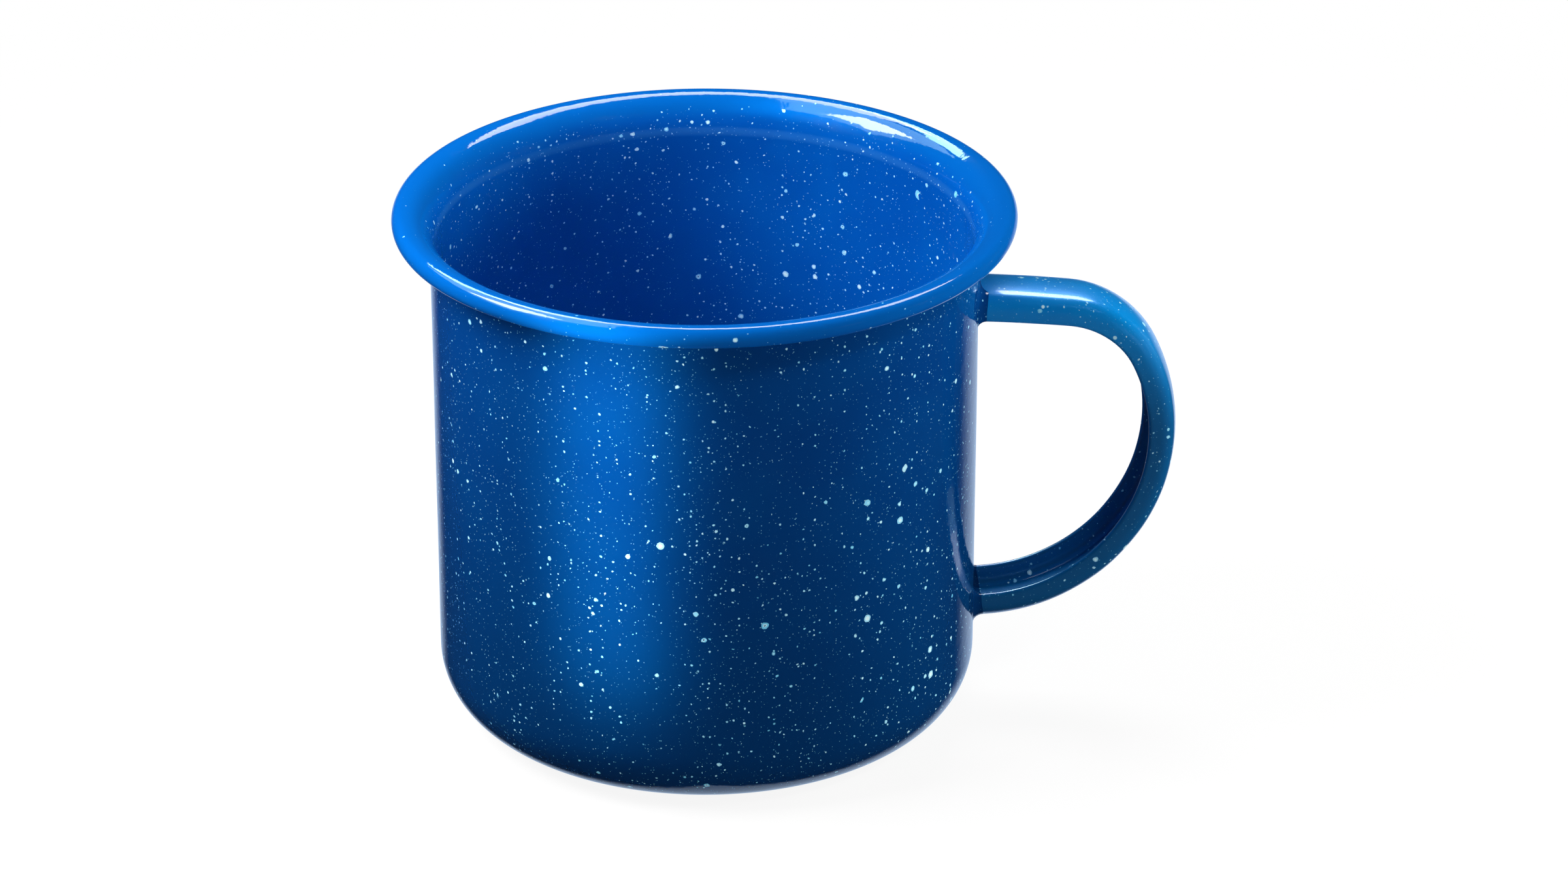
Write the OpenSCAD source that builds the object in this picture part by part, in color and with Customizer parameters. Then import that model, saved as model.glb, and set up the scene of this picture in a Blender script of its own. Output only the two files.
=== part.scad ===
// Enamelled steel camping mug: a drawn cup with a flared, rolled mouth and a
// pressed channel handle welded to its wall. Millimetres, +Z up. The origin is
// the centre of the foot on the cup's axis, and the handle points along +X.

/* [Cup] */
// Outside diameter of the enamelled wall, just under the flare
cup_d = 80; // [70:1:95]
// Overall height, from the foot to the top of the rolled rim
cup_h = 80.2; // [70:0.1:100]
// How much smaller the wall's radius is at the foot than under the flare
wall_taper = 0.2; // [0:0.05:1.5]
// Outside radius of the rounded corner between foot and wall
foot_corner_r = 10.3; // [6:0.1:14]
// Thickness of the cup's steel sheet
sheet_t = 0.5; // [0.4:0.05:0.6]
// Thickness of the fused enamel on every steel face
coat_t = 0.2; // [0.1:0.05:0.25]

/* [Mouth] */
// How far the rim stands out past the wall
lip_reach = 5.5; // [4.8:0.1:7]
// Height over which the wall bends out into the rim
flare_h = 5.8; // [5:0.1:7]
// Outside radius of the rolled rim, enamel included
bead_r = 1.55; // [1.4:0.05:1.8]
// How far round the sheet's edge is rolled, in degrees
curl_turn = 262; // [200:1:268]

/* [Handle] */
// Outside width of the enamelled channel
strip_w = 10.6; // [8:0.1:14]
// Outside depth of the enamelled channel, from its back to its edges
strip_depth = 4.05; // [3.8:0.05:6]
// Outside radius of the channel's two long corners
strip_corner_r = 2.4; // [1.9:0.1:2.8]
// Thickness of the handle's steel strip
strip_t = 0.6; // [0.5:0.05:0.8]
// Height of the upper end's middle above the foot
handle_top_z = 64.7; // [61:0.1:67]
// Slope of the upper end below level, in degrees
handle_droop = 2.7; // [0:0.1:6]
// Radius of the nearly straight upper arm
arm_r = 200; // [120:5:400]
// Angle of the upper arm's bend, in degrees
arm_turn = 3.9; // [2:0.1:6]
// Radius of the shoulder bend
shoulder_r = 13.9; // [12:0.1:17]
// Angle of the shoulder bend, in degrees
shoulder_turn = 58; // [54:0.5:62]
// Radius of the grip bend
grip_r = 28.1; // [25:0.1:31]
// Angle of the grip bend, in degrees
grip_turn = 63; // [58:0.5:68]
// Radius of the bend that leads back to the wall
return_r = 26.8; // [23:0.1:30]

/* [Joints] */
// Width of the weld on each side of the strip where it meets the cup
weld_w = 0.5; // [0.3:0.05:0.8]
// Radius of the enamel fillet round each end of the handle
fillet_r = 1.2; // [0.6:0.05:1.3]

/* [Hidden] */
$fn = 256;
// Largest step along an arc of the cup's outline, in degrees
arc_step = 7.5;
// Largest step along an arc of the handle's section, in degrees
section_step = 15;
// Angle at which the flare's wide lower arc hands over to its tighter upper one
flare_split = 45;
// Whole steps in which the first of a bend's two moves is made
coarse_step = 0.01;

wall_t = sheet_t + 2 * coat_t;
cup_r = cup_d / 2;
foot_r = cup_r - wall_taper;
flare_z = cup_h - flare_h;

// The flare's two arcs are tangent to the wall, to each other and to the rim.
flare_out = lip_reach - bead_r + wall_t;
flare_den = 1 - cos(flare_split) - sin(flare_split);
lower_flare_r = (flare_out * (1 - sin(flare_split)) - flare_h * cos(flare_split)) / flare_den;
upper_flare_r = (flare_h * (1 - cos(flare_split)) - flare_out * sin(flare_split)) / flare_den;
rim_x = cup_r + lip_reach - bead_r;

// Middle line of the handle's channel section: x out of its back, y across it.
strip_wall = strip_t + 2 * coat_t;
strip_corner = strip_corner_r - strip_wall / 2;
strip_half = (strip_w - strip_wall) / 2;
strip_top = (strip_depth - strip_wall) / 2;
corner_y = strip_half - strip_corner;
corner_x = strip_top - strip_corner;

// How far the handle's ends run into the cup before its wall cuts them off.
root_bury = 3;
// Thickness of the fillet's edge where it runs out along the strip.
fillet_edge = 0.1;
// Width left open in the channel's inner corner, which the fillet never fills.
fillet_gap = 0.1;
root_fillet = min(fillet_r, strip_corner - strip_wall / 2 - fillet_edge - fillet_gap);
// Distance of the fillet's outer foot from the strip's middle.
fillet_foot = strip_wall / 2 + fillet_edge + root_fillet;

// ---- outlines ----

// Points of an arc, angles counted anticlockwise from +X.
function arc(cx, cy, r, from, to, step = arc_step) =
    let (n = ceil(abs(to - from) / step))
    [for (i = [0 : n]) let (a = from + (to - from) * i / n) [cx + r * cos(a), cy + r * sin(a)]];

function reversed(points) = [for (i = [len(points) - 1 : -1 : 0]) points[i]];

// Outside radius of the enamelled wall at height z.
function wall_r(z) = foot_r + wall_taper * (z - foot_corner_r) / (flare_z - foot_corner_r);

// The sheet's line from the middle of the foot to the top of the flare, moved
// out by d from the middle of the wall's thickness (d > 0 is outside).
function wall_line(d) =
    let (
        corner = foot_corner_r - wall_t / 2 + d,
        low_r = lower_flare_r - wall_t / 2 - d,
        high_r = upper_flare_r - wall_t / 2 - d,
        low_x = cup_r - wall_t + lower_flare_r
    )
    concat(
        [[0, foot_corner_r - corner]],
        arc(foot_r - foot_corner_r, foot_corner_r, corner, -90, 0),
        arc(low_x, flare_z, low_r, 180, 180 - flare_split),
        arc(rim_x, cup_h - upper_flare_r, high_r, 180 - flare_split, 90)
    );

// The rolled rim's continuation of wall_line(d).
function rim_line(d) = arc(rim_x, cup_h - bead_r, bead_r - wall_t / 2 - d, 90, 90 - curl_turn);

function sheet_line(d) = concat(wall_line(d), rim_line(d));

// Half of the channel's outline at distance d from its middle line.
function half_channel(d) = concat(
    arc(corner_x, corner_y, strip_corner + d, 0, 90, section_step),
    arc(-strip_top, strip_half, d, 90, 270, section_step),
    arc(corner_x, corner_y, strip_corner - d, 90, 0, section_step)
);

function channel_outline(d) =
    let (half = half_channel(d))
    concat(half, [for (p = reversed(half)) [p.x, -p.y]]);

// ---- handle line: tangent bends, headings in degrees below +X ----

// Unit vector out of the handle's back where its line has this heading.
function out_of(heading) = [sin(heading), cos(heading)];

arm_end = handle_droop + arm_turn;
shoulder_end = arm_end + shoulder_turn;
grip_end = shoulder_end + grip_turn;

upper_root = [wall_r(handle_top_z), handle_top_z];
arm_centre = upper_root - arm_r * out_of(handle_droop);
shoulder_centre = arm_centre + (arm_r - shoulder_r) * out_of(arm_end);
grip_centre = shoulder_centre + (shoulder_r - grip_r) * out_of(shoulder_end);
return_centre = grip_centre + (grip_r - return_r) * out_of(grip_end);

// Both ends run on under the wall, by whole steps of heading.
buried_start = floor(handle_droop - asin(root_bury / arm_r));
buried_end = 180 + ceil(asin((return_centre.x - foot_r + root_bury) / return_r));
lower_heading = 180 + asin((return_centre.x - foot_r) / return_r);
lower_root = return_centre + return_r * out_of(lower_heading);

// ---- building blocks ----

function coarse(v) = round(v / coarse_step) * coarse_step;

// Moves a bend to its centre in a coarse step and a fine one, so that bends
// that follow each other meet face to face.
module at_centre(c) {
    translate([coarse(c.x), 0, coarse(c.y)])
        translate([c.x - coarse(c.x), 0, c.y - coarse(c.y)])
        children();
}

// The channel at distance d from its middle line, bent from one heading to
// another.
module bend(centre, r, from, to, d) {
    at_centre(centre)
        rotate([90, 0, 0])
        rotate_extrude(start = 90 - to, angle = to - from)
        translate([r, 0])
        polygon(channel_outline(d));
}

module upper_arm(d) {
    bend(arm_centre, arm_r, buried_start, arm_end, d);
}

module lower_arm(d) {
    bend(return_centre, return_r, grip_end, buried_end, d);
}

// The whole handle at distance d from the strip's middle, not yet cut off.
module handle_sweep(d) {
    union() {
        upper_arm(d);
        bend(shoulder_centre, shoulder_r, arm_end, shoulder_end, d);
        bend(grip_centre, grip_r, shoulder_end, grip_end, d);
        lower_arm(d);
    }
}

// Everything inside the sheet's line at distance d, as one solid.
module cup_block(d) {
    rotate_extrude()
        polygon(concat(wall_line(d), [[0, wall_line(d)[len(wall_line(d)) - 1].y]]));
}

// The layer of a turned sheet between two of its lines.
module turned_layer(outer, inner) {
    rotate_extrude()
        polygon(concat(outer, reversed(inner)));
}

// Section of a fillet on the strip's outer side, down to under the wall: x is
// the distance from the strip's middle, y the height above the wall.
function fillet_side() = concat(
    [[0, root_fillet]],
    arc(fillet_foot, root_fillet, root_fillet, 180, 270, section_step),
    [[fillet_foot, -root_bury / 2], [0, -root_bury / 2]]
);

// The same section on both sides of the strip.
function fillet_ridge() =
    let (side = fillet_side())
    concat(side, [for (p = reversed(side)) if (p.x > 0) [-p.x, p.y]]);

// Half of the fillet from the strip's corner on, laid along its middle line.
module half_fillet_ring() {
    translate([corner_x, corner_y, 0])
        rotate_extrude(angle = 90)
        translate([strip_corner, 0])
        polygon(fillet_ridge());
    translate([-strip_top, strip_half, 0])
        rotate([90, 0, 90])
        linear_extrude(corner_x + strip_top)
        polygon(fillet_ridge());
    translate([-strip_top, strip_half, 0])
        rotate_extrude(start = 90, angle = 180)
        polygon(fillet_side());
}

module fillet_ring() {
    union() {
        translate([strip_top, corner_y, 0])
            rotate([90, 0, 0])
            linear_extrude(2 * corner_y)
            polygon(fillet_ridge());
        half_fillet_ring();
        mirror([0, 1, 0])
            half_fillet_ring();
    }
}

// Place of the wall's face along +X, midway between where it meets the middle
// of the strip's back and where it meets the outer foot of the fillet.
function root_x(z) =
    let (half = strip_half + fillet_foot, r = wall_r(z))
    (r + sqrt(r * r - half * half)) / 2;

// A fillet round the handle's end at this place on the wall. The child is the
// arm that passes through it.
module pooled_fillet(root) {
    difference() {
        translate([root_x(root.y), 0, root.y])
            rotate([180, 0, 0])
            rotate([0, 90, 0])
            fillet_ring();
        cup_block(wall_t / 2);
        children();
    }
}

// Weld metal that fills the enamel's depth round the end of the strip.
module root_weld() {
    difference() {
        intersection() {
            children(0);
            cup_block(wall_t / 2);
        }
        children(1);
        cup_block(sheet_t / 2);
    }
}

// ---- pieces ----

// Drawn steel cup, flared and rolled at the mouth.
module cup_shell() {
    color("slategray")
        turned_layer(sheet_line(sheet_t / 2), sheet_line(-sheet_t / 2));
}

// Enamel inside the cup, over the rim and round to the rolled edge.
module inside_enamel() {
    color("royalblue")
        turned_layer(sheet_line(-sheet_t / 2), sheet_line(-wall_t / 2));
}

// Enamel under the foot and up the outside, to the rolled rim.
module outside_enamel() {
    color("mediumblue")
        difference() {
            turned_layer(wall_line(wall_t / 2), wall_line(sheet_t / 2));
            upper_arm(strip_t / 2 + weld_w);
            lower_arm(strip_t / 2 + weld_w);
        }
}

// Pressed steel channel, its ends trimmed to the cup's wall.
module handle_strip() {
    color("lightslategray")
        difference() {
            handle_sweep(strip_t / 2);
            cup_block(sheet_t / 2);
        }
}

// Enamel over the whole strip, inside the channel and round its edges.
module handle_enamel() {
    color("dodgerblue")
        difference() {
            handle_sweep(strip_wall / 2);
            handle_sweep(strip_t / 2);
            cup_block(wall_t / 2);
        }
}

module upper_weld() {
    color("silver")
        root_weld() {
            upper_arm(strip_t / 2 + weld_w);
            upper_arm(strip_t / 2);
        }
}

module lower_weld() {
    color("silver")
        root_weld() {
            lower_arm(strip_t / 2 + weld_w);
            lower_arm(strip_t / 2);
        }
}

// Enamel that pools where the handle's upper end meets the wall.
module upper_fillet() {
    color("deepskyblue")
        pooled_fillet(upper_root)
            upper_arm(strip_wall / 2);
}

// Enamel that pools where the handle's lower end meets the wall.
module lower_fillet() {
    color("deepskyblue")
        pooled_fillet(lower_root)
            lower_arm(strip_wall / 2);
}

cup_shell();
inside_enamel();
outside_enamel();
handle_strip();
handle_enamel();
upper_weld();
lower_weld();
upper_fillet();
lower_fillet();
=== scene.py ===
"""Dressed model of a speckled enamel camping mug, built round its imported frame.

Sizes in the classes are millimetres in the frame's own axes: +Z up along the
cup, +X from the cup's axis to the handle, and the origin in the middle of the
foot. Meshes are written in metres.
"""

from __future__ import annotations

import logging
import math
from dataclasses import dataclass
from enum import Enum
from typing import Sequence

import bpy
from bpy.types import Material, Node, NodeSocket, NodeTree, Object
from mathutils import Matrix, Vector, noise

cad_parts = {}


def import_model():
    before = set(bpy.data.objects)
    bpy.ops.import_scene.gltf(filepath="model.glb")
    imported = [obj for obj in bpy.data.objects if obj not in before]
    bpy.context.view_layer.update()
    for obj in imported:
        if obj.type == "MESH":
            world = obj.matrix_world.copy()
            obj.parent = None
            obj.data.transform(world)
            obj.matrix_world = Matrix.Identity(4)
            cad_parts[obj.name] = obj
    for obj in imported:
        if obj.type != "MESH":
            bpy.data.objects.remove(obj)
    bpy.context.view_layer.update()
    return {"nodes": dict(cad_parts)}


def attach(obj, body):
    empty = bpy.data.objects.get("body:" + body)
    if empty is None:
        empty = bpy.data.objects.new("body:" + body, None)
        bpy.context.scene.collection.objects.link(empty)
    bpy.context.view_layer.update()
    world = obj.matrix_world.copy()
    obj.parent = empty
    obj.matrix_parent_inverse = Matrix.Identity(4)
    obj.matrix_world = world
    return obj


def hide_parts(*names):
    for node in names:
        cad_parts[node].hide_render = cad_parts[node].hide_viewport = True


Point2 = tuple[float, float]
Point3 = tuple[float, float, float]
Colour = tuple[float, float, float]

MM = 0.001
# Slack for rounding, in steps or millimetres
TINY = 1e-6
# Seed of the noise that makes the handle slightly uneven, so that each run gives the same mug
NOISE_SEED = 11
# The mug moves as one, so every piece rides on the same body
BODY = "root"
# Faces that meet at more than this keep a hard edge
SHARP_ANGLE = math.radians(52)
WARM: Colour = (1.0, 1.0, 0.86)
SKY: Colour = (0.55, 0.95, 0.85)

log = logging.getLogger("enamel_mug")


# ---- outlines


def arc(centre: Point2, radius: float, start: float, end: float, step: float) -> list[Point2]:
    """Points along an arc, its ends included.

    Args:
        centre: Middle of the arc.
        radius: Radius of the arc.
        start: First angle, in degrees anticlockwise from the first axis.
        end: Last angle, in degrees.
        step: Largest angle between two points, in degrees.

    Returns:
        The points in order from start to end.
    """
    count = max(1, math.ceil(abs(end - start) / step - TINY))
    angles = (math.radians(start + (end - start) * i / count) for i in range(count + 1))
    return [(centre[0] + radius * math.cos(a), centre[1] + radius * math.sin(a)) for a in angles]


def line(start: Point2, end: Point2, count: int) -> list[Point2]:
    """Points that cut a straight line into equal steps, without its two ends."""
    way = (end[0] - start[0], end[1] - start[1])
    return [(start[0] + way[0] * i / count, start[1] + way[1] * i / count) for i in range(1, count)]


def smooth_step(low: float, high: float, value: float) -> float:
    """Eased ramp from 0 at low to 1 at high, read at a value."""
    share = min(1.0, max(0.0, (value - low) / (high - low)))
    return share * share * (3.0 - 2.0 * share)


# ---- meshes


class MeshMaker:
    """Gathers points and faces in millimetres, then writes one mesh object."""

    def __init__(self) -> None:
        """Starts with no points and no faces."""
        self.points: list[Point3] = []
        self.faces: list[tuple[int, ...]] = []

    def ring(self, points: Sequence[Point3]) -> list[int]:
        """Adds points, and returns their numbers in the mesh."""
        self.points.extend(points)
        return list(range(len(self.points) - len(points), len(self.points)))

    def bridge(self, low: Sequence[int], high: Sequence[int]) -> None:
        """Joins two closed rings with a band of faces.

        Args:
            low: First ring, or a single point.
            high: Second ring, or a single point.
        """
        count = max(len(low), len(high))
        for i in range(count):
            j = (i + 1) % count
            face = (low[i % len(low)], low[j % len(low)], high[j % len(high)], high[i % len(high)])
            # A single point comes up twice, and its face is a triangle
            self.faces.append(tuple(dict.fromkeys(face)))

    def loft(
        self, rings: Sequence[Sequence[Point3]], flip: bool = False, closed: bool = False
    ) -> list[list[int]]:
        """Adds rings of points, and joins each to the next.

        Args:
            rings: The points of each ring, or a single point where the skin closes.
            flip: Whether the faces look the other way.
            closed: Whether the last ring is joined to the first.

        Returns:
            The numbers of each ring's points.
        """
        made = [self.ring(points) for points in rings]
        for low, high in zip(made, made[1:] + (made[:1] if closed else [])):
            self.bridge(*((high, low) if flip else (low, high)))
        return made

    def build(self, name: str) -> Object:
        """Writes the mesh as a smooth-shaded object.

        Args:
            name: Name of the object and its mesh.

        Returns:
            The new object, linked into the scene.
        """
        mesh = bpy.data.meshes.new(name)
        mesh.from_pydata([(x * MM, y * MM, z * MM) for x, y, z in self.points], [], self.faces)
        mesh.validate()
        mesh.shade_smooth()
        mesh.set_sharp_from_angle(angle=SHARP_ANGLE)
        obj = bpy.data.objects.new(name, mesh)
        bpy.context.scene.collection.objects.link(obj)
        return obj


def put_in_place(obj: Object, node: str, finish: Material) -> None:
    """Gives a finished piece its material and its body, and hides the node it stands for.

    Args:
        obj: The piece.
        node: CAD node that it replaces.
        finish: Its material.
    """
    obj.data.materials.append(finish)
    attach(obj, BODY)
    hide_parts(node)
    log.info("%s: %d faces, stands for %s", obj.name, len(obj.data.polygons), node)


# ---- the cup


class Layer(Enum):
    """The three nested layers of the cup's wall, with the node each stands for."""

    STEEL = "cup_shell"
    INSIDE = "inside_enamel"
    OUTSIDE = "outside_enamel"


@dataclass(frozen=True)
class Cup:
    """Drawn steel cup with enamel on both faces, flared and rolled at the mouth."""

    wall_r: float = 40.0
    wall_taper: float = 0.2
    height: float = 80.2
    foot_corner_r: float = 10.3
    sheet_t: float = 0.5
    coat_t: float = 0.2
    lip_reach: float = 5.5
    flare_h: float = 5.8
    flare_split: float = 45.0
    bead_r: float = 1.55
    steel_curl: float = 276.0
    glass_curl: float = 281.0
    foot_dish: float = 0.35
    foot_zone: float = 1.35
    around: int = 224
    arc_step: float = 4.0
    bead_step: float = 9.0
    wall_rows: int = 22
    foot_rows: int = 8
    oval: float = 0.07
    oval_at: float = 0.7
    three_lobe: float = 0.035
    lobes_at: float = -1.1
    hammer: float = 0.03
    hammer_length: float = 17.0
    hammer_rise: Point2 = (2.0, 16.0)
    rim_wave: float = 0.05
    rim_wave_at: float = 0.4
    rim_wave_power: int = 6

    @property
    def wall_t(self) -> float:
        """Thickness of the sheet with enamel on both faces."""
        return self.sheet_t + 2 * self.coat_t

    @property
    def foot_r(self) -> float:
        """Outside radius of the wall where it meets the foot's corner."""
        return self.wall_r - self.wall_taper

    @property
    def flare_z(self) -> float:
        """Height at which the wall starts to bend out."""
        return self.height - self.flare_h

    @property
    def rim_x(self) -> float:
        """Radius of the middle of the rolled bead."""
        return self.wall_r + self.lip_reach - self.bead_r

    def flare_radii(self) -> Point2:
        """Radii of the flare's two arcs, which meet at the same slope.

        Returns:
            The lower and the upper radius, on the inner face of the wall.
        """
        out = self.lip_reach - self.bead_r + self.wall_t
        sin_a = math.sin(math.radians(self.flare_split))
        cos_a = math.cos(math.radians(self.flare_split))
        share = 1 - cos_a - sin_a
        lower = (out * (1 - sin_a) - self.flare_h * cos_a) / share
        upper = (self.flare_h * (1 - cos_a) - out * sin_a) / share
        return lower, upper

    def outer_radius(self, z: float) -> float:
        """Outside radius of the enamelled wall at height z."""
        return self.foot_r + self.wall_taper * (z - self.foot_corner_r) / (self.flare_z - self.foot_corner_r)

    def wall_line(self, d: float, curl: float) -> list[Point2]:
        """Line of the sheet from the middle of the foot, over the flare and round the rolled rim.

        Args:
            d: Distance out from the middle of the wall's thickness.
            curl: How far it follows the roll, in degrees.

        Returns:
            Points (radius, height) along the line.
        """
        corner = self.foot_corner_r - self.wall_t / 2 + d
        corner_mid = (self.foot_r - self.foot_corner_r, self.foot_corner_r)
        lower, upper = self.flare_radii()
        low_mid = (self.wall_r - self.wall_t + lower, self.flare_z)
        high_mid = (self.rim_x, self.height - upper)
        bead_mid = (self.rim_x, self.height - self.bead_r)
        foot = (0.0, self.foot_corner_r - corner)
        foot_arc = arc(corner_mid, corner, -90, 0, self.arc_step)
        low_arc = arc(low_mid, lower - self.wall_t / 2 - d, 180, 180 - self.flare_split, self.arc_step)
        high_arc = arc(high_mid, upper - self.wall_t / 2 - d, 180 - self.flare_split, 90, self.arc_step)
        bead_r = self.bead_r - self.wall_t / 2 - d
        bead_arc = arc(bead_mid, bead_r, 90, 90 - curl, self.bead_step) if curl else []
        return [
            foot, *line(foot, foot_arc[0], self.foot_rows), *foot_arc,
            *line(foot_arc[-1], low_arc[0], self.wall_rows), *low_arc, *high_arc[1:], *bead_arc[1:],
        ]

    def shaped(self, radius: float, z: float, angle: float) -> Point3:
        """Point of the cup with the slight unevenness of a drawn and fired one.

        Args:
            radius: Radius on the true form.
            z: Height on the true form.
            angle: Direction round the cup, in radians from +X.

        Returns:
            The point, moved a few hundredths of a millimetre off the true form.
        """
        lift = smooth_step(0.0, self.height, z)
        reach = radius / self.wall_r
        x, y = math.cos(angle), math.sin(angle)
        bump = noise.noise(Vector((x * self.wall_r, y * self.wall_r, z)) / self.hammer_length)
        lobes = self.oval * math.cos(2 * angle - self.oval_at)
        lobes += self.three_lobe * math.cos(3 * angle - self.lobes_at)
        out = lift * lobes
        out += self.hammer * bump * smooth_step(*self.hammer_rise, z)
        flat = self.foot_r - self.foot_corner_r
        dish = 0.0
        if z < self.foot_zone and radius < flat:
            dish = self.foot_dish * (1 - (radius / flat) ** 2) ** 2
        wave = self.rim_wave * lift**self.rim_wave_power * math.cos(3 * angle - self.rim_wave_at)
        r = radius + out * min(1.0, reach)
        return (r * x, r * y, z + dish + wave)

    def outline(self, layer: Layer) -> list[Point2]:
        """Closed outline of one layer, from the axis up and back to the axis.

        Args:
            layer: Which layer of the wall.

        Returns:
            Points (radius, height), outer face first.
        """
        steel, glass = self.sheet_t / 2, self.wall_t / 2
        outer, inner, curl = {
            Layer.STEEL: (steel, -steel, self.steel_curl),
            Layer.INSIDE: (-steel, -glass, self.glass_curl),
            Layer.OUTSIDE: (glass, steel, 0.0),
        }[layer]
        return self.wall_line(outer, curl) + self.wall_line(inner, curl)[::-1]

    def build(self, layer: Layer, name: str) -> Object:
        """Turns one layer of the wall round the cup's axis.

        Args:
            layer: Which layer of the wall.
            name: Name of the piece.

        Returns:
            The closed mesh object.
        """
        maker = MeshMaker()
        turns = [2 * math.pi * i / self.around for i in range(self.around)]
        maker.loft([
            [self.shaped(radius, z, turn) for turn in (turns if radius > TINY else turns[:1])]
            for radius, z in self.outline(layer)
        ])
        return maker.build(name)


# ---- the handle


class Root(Enum):
    """The two ends of the handle, with the node of the fillet round each."""

    UPPER = "upper_fillet"
    LOWER = "lower_fillet"


@dataclass(frozen=True)
class Bend:
    """One circular bend of the handle's line, headings in degrees below +X."""

    centre: Point2
    radius: float
    start: float
    end: float


@dataclass(frozen=True)
class Handle:
    """Pressed steel channel, bent into a grip and covered with enamel."""

    cup: Cup
    width: float = 10.6
    depth: float = 4.05
    corner_r: float = 2.4
    strip_t: float = 0.6
    coat_t: float = 0.2
    top_z: float = 64.7
    droop: float = 2.7
    arm_r: float = 200.0
    arm_turn: float = 3.9
    shoulder_r: float = 13.9
    shoulder_turn: float = 58.0
    grip_r: float = 28.1
    grip_turn: float = 63.0
    return_r: float = 26.8
    return_turn: float = 180.0
    crown: float = 0.34
    station: float = 1.1
    section_step: float = 11.0
    back_rows: int = 5
    corner_rows: int = 9
    side_rows: int = 3
    bury: float = 0.14
    upper_search: float = 1.5
    lower_search: Point2 = (172.0, 190.0)
    halvings: int = 40
    unevenness: float = 0.05
    uneven_length: float = 7.0

    @property
    def wall(self) -> float:
        """Thickness of the strip with enamel on both faces."""
        return self.strip_t + 2 * self.coat_t

    def bends(self) -> list[Bend]:
        """The handle's four bends, each tangent to the next.

        Returns:
            The bends, from the upper end to the lower end.
        """
        turns = (
            (self.arm_r, self.arm_turn),
            (self.shoulder_r, self.shoulder_turn),
            (self.grip_r, self.grip_turn),
            (self.return_r, self.return_turn),
        )
        heading = self.droop
        at = (self.cup.outer_radius(self.top_z), self.top_z)
        made: list[Bend] = []
        for radius, turn in turns:
            out = out_of_back(heading)
            centre = (at[0] - radius * out[0], at[1] - radius * out[1])
            made.append(Bend(centre, radius, heading, heading + turn))
            heading += turn
            out = out_of_back(heading)
            at = (centre[0] + radius * out[0], centre[1] + radius * out[1])
        return made

    def half_section(self, d: float, crown: float) -> list[Point2]:
        """Half of the channel's outline, from the middle of its back round its edge.

        Args:
            d: Distance out from the middle of the strip's thickness.
            crown: How much the middle of the back stands proud.

        Returns:
            Points (out of the back, across), from the back to the hollow.
        """
        corner = self.corner_r - self.wall / 2
        half = (self.width - self.wall) / 2
        top = (self.depth - self.wall) / 2
        middle = (top - corner, half - corner)
        lean = 2 * math.degrees(math.atan2(crown, middle[1]))
        outer = arc(middle, corner + d, lean, 90, (90 - lean) / self.corner_rows)
        lip = arc((-top, half), d, 90, 270, 2 * self.section_step)
        inner = arc(middle, corner - d, 90, 0, self.section_step)
        if crown:
            inward = middle[1] / math.tan(math.radians(lean))
            bow_r = math.hypot(middle[1], inward) + corner + d
            back = arc((middle[0] - inward, 0.0), bow_r, 0, lean, lean / self.back_rows)[:-1]
        else:
            back = [(top + d, 0.0), *line((top + d, 0.0), outer[0], self.back_rows)]
        hollow = (top - d, 0.0)
        return [
            *back, *outer, *line(outer[-1], lip[0], self.side_rows), *lip,
            *line(lip[-1], inner[0], self.side_rows), *inner,
            *line(inner[-1], hollow, self.back_rows), hollow,
        ]

    def section(self, d: float, crown: float = 0.0) -> list[Point2]:
        """Closed outline of the channel at distance d from its middle line."""
        half = self.half_section(d, crown)
        return half + [(x, -y) for x, y in half[-2:0:-1]]

    def place(self, bend: Bend, heading: float, at: Point2) -> Point3:
        """Turns a point of a section (out of the back, across) into the frame's, at a heading of a bend."""
        x, z, reach = *out_of_back(heading), bend.radius + at[0]
        return (bend.centre[0] + reach * x, at[1], bend.centre[1] + reach * z)

    def at_wall(self, root: Root, at: Point2, depth: float) -> float:
        """Heading at which a point of the section meets the cup's wall.

        Args:
            root: Which end of the handle.
            at: The section's point, out of the back and across.
            depth: How far under the wall's face to stop.

        Returns:
            The heading, in degrees.
        """
        bends = self.bends()
        bend = bends[0] if root is Root.UPPER else bends[-1]
        if root is Root.UPPER:
            inside, outside = self.droop - self.upper_search, self.droop + self.arm_turn
        else:
            outside, inside = self.lower_search
        for _ in range(self.halvings):
            middle = (inside + outside) / 2
            x, y, z = self.place(bend, middle, at)
            if math.hypot(x, y) > self.cup.outer_radius(z) - depth:
                outside = middle
            else:
                inside = middle
        return (inside + outside) / 2

    def stations(self) -> list[tuple[Bend, float]]:
        """Places the sections between the two ends.

        Returns:
            Bend and heading of each section, in order.
        """
        bends = self.bends()
        first = self.at_wall(Root.UPPER, (0.0, self.width / 2), -self.station)
        last = self.at_wall(Root.LOWER, (0.0, self.width / 2), -self.station)
        made: list[tuple[Bend, float]] = []
        for bend in bends:
            start, end = max(first, bend.start), min(last, bend.end)
            count = max(2, round(math.radians(end - start) * bend.radius / self.station))
            stop = count + 1 if bend is bends[-1] else count
            made += [(bend, start + (end - start) * i / count) for i in range(stop)]
        return made

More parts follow.
